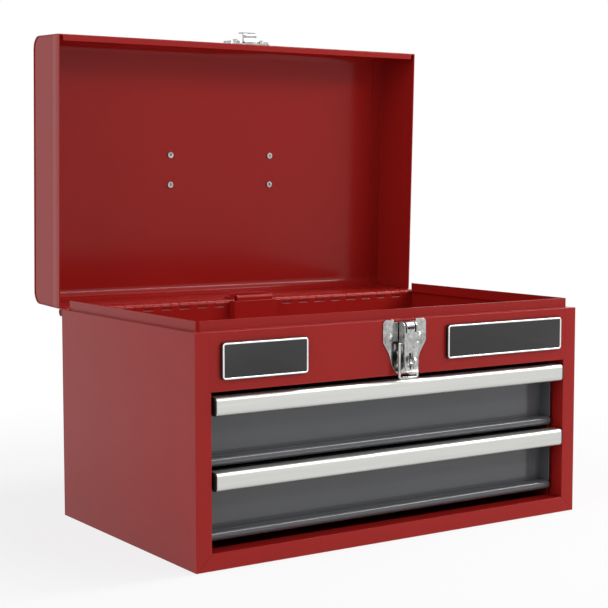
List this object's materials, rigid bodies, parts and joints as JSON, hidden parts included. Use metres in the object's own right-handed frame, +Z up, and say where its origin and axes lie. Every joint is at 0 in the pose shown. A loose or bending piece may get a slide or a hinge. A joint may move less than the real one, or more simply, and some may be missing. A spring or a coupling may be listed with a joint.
{
  "type": "portable tool box with drawers",
  "caption": "Portable sheet steel tool box: a hinged lid over a till, drawers on ball slides with full width pulls, a draw latch and a folding carrying handle.",
  "frame": {"origin": "middle of the cabinet's base, on the surface it stands on", "axes": "+Z up, -Y to the front with the drawers and latch, +X to the right seen from the front"},
  "size_m": [0.38, 0.3148, 0.4245],
  "materials": {
    "red_paint": "semi-gloss red powder coat",
    "grey_paint": "semi-gloss dark grey powder coat",
    "brushed_aluminium": "satin, brushed lengthways",
    "bright_steel": "bright nickel plate",
    "zinc_steel": "clear zinc plate",
    "black_plastic": "fine satin",
    "badge_black": "gloss black field with a bright border"
  },
  "bodies": {
    "cabinet": {"side_panel_left": "red_paint", "side_panel_right": "red_paint", "back_panel": "red_paint", "base_pan": "red_paint", "front_fascia": "red_paint", "till_tray": "red_paint", "slide_post_front_left": "red_paint", "slide_post_front_right": "red_paint", "slide_post_rear_left": "red_paint", "slide_post_rear_right": "red_paint", "slide_rail_top_left": "zinc_steel", "slide_rail_top_right": "zinc_steel", "slide_rail_bottom_left": "zinc_steel", "slide_rail_bottom_right": "zinc_steel", "hinge_pin": "zinc_steel", "badge_left": "badge_black", "badge_right": "badge_black", "latch_plate": "bright_steel", "latch_staple": "bright_steel", "latch_pin": "bright_steel", "latch_rivets": "bright_steel", "lock_cover": "red_paint", "lock_keeper": "zinc_steel", "lock_spring": "zinc_steel"},
    "lid": {"lid_wrap": "red_paint", "lid_end_left": "red_paint", "lid_end_right": "red_paint", "lock_presser": "red_paint", "latch_catch": "bright_steel", "catch_rivets": "bright_steel", "handle_bracket_left": "bright_steel", "handle_bracket_right": "bright_steel", "handle_rivets": "bright_steel"},
    "handle": {"handle_bail": "bright_steel", "handle_grip": "black_plastic"},
    "lock_bar": {"lock_bar": "red_paint"},
    "lever": {"latch_lever": "bright_steel"},
    "bail": {"latch_bail": "bright_steel"},
    "drawer_top": {"drawer_tray_top": "grey_paint", "drawer_front_top": "grey_paint", "drawer_pull_top": "brushed_aluminium", "pull_caps_top": "black_plastic", "slide_runner_top_left": "zinc_steel", "slide_runner_top_right": "zinc_steel"},
    "cage_top_left": {"ball_cage_top_left": "zinc_steel"},
    "cage_top_right": {"ball_cage_top_right": "zinc_steel"},
    "drawer_bottom": {"drawer_tray_bottom": "grey_paint", "drawer_front_bottom": "grey_paint", "drawer_pull_bottom": "brushed_aluminium", "pull_caps_bottom": "black_plastic", "slide_runner_bottom_left": "zinc_steel", "slide_runner_bottom_right": "zinc_steel"},
    "cage_bottom_left": {"ball_cage_bottom_left": "zinc_steel"},
    "cage_bottom_right": {"ball_cage_bottom_right": "zinc_steel"}
  },
  "joints": [
    {"name": "lid_hinge", "type": "hinge", "parent": "cabinet", "child": "lid", "pos_m": [0, 0.11808, 0.1764], "axis": [1, 0, 0], "range_deg": [0, 88.2]},
    {"name": "handle_pivot", "type": "hinge", "parent": "lid", "child": "handle", "pos_m": [0, 0.17686, 0.29899], "axis": [1, 0, 0], "range_deg": [0, 180]},
    {"name": "drawer_top_slide", "type": "slide", "parent": "cabinet", "child": "drawer_top", "axis": [0, -1, 0], "range_m": [0, 0.15]},
    {"name": "drawer_bottom_slide", "type": "slide", "parent": "cabinet", "child": "drawer_bottom", "axis": [0, -1, 0], "range_m": [0, 0.15]},
    {"name": "latch_lever_hinge", "type": "hinge", "parent": "cabinet", "child": "lever", "pos_m": [0.002, -0.1207, 0.1736], "axis": [1, 0, 0], "range_deg": [-150, 0]},
    {"name": "latch_bail_hinge", "type": "hinge", "parent": "lever", "child": "bail", "pos_m": [0.002, -0.1213, 0.16], "axis": [-1, 0, 0], "range_deg": [0, 180]},
    {"name": "lock_bar_slide", "type": "slide", "parent": "cabinet", "child": "lock_bar", "axis": [0, 0, -1], "range_m": [0, 0.005], "deforming": ["lock_spring"]},
    {"name": "cage_top_left_slide", "type": "slide", "parent": "cabinet", "child": "cage_top_left", "axis": [0, -1, 0], "range_m": [0, 0.075]},
    {"name": "cage_top_right_slide", "type": "slide", "parent": "cabinet", "child": "cage_top_right", "axis": [0, -1, 0], "range_m": [0, 0.075]},
    {"name": "cage_bottom_left_slide", "type": "slide", "parent": "cabinet", "child": "cage_bottom_left", "axis": [0, -1, 0], "range_m": [0, 0.075]},
    {"name": "cage_bottom_right_slide", "type": "slide", "parent": "cabinet", "child": "cage_bottom_right", "axis": [0, -1, 0], "range_m": [0, 0.075]}
  ],
  "couplings": [
    {"joint": "lock_bar_slide", "follows": "lid_hinge", "m_per_rad": 0.003248},
    {"joint": "cage_top_left_slide", "follows": "drawer_top_slide", "ratio": 0.5},
    {"joint": "cage_top_right_slide", "follows": "drawer_top_slide", "ratio": 0.5},
    {"joint": "cage_bottom_left_slide", "follows": "drawer_bottom_slide", "ratio": 0.5},
    {"joint": "cage_bottom_right_slide", "follows": "drawer_bottom_slide", "ratio": 0.5}
  ]
}
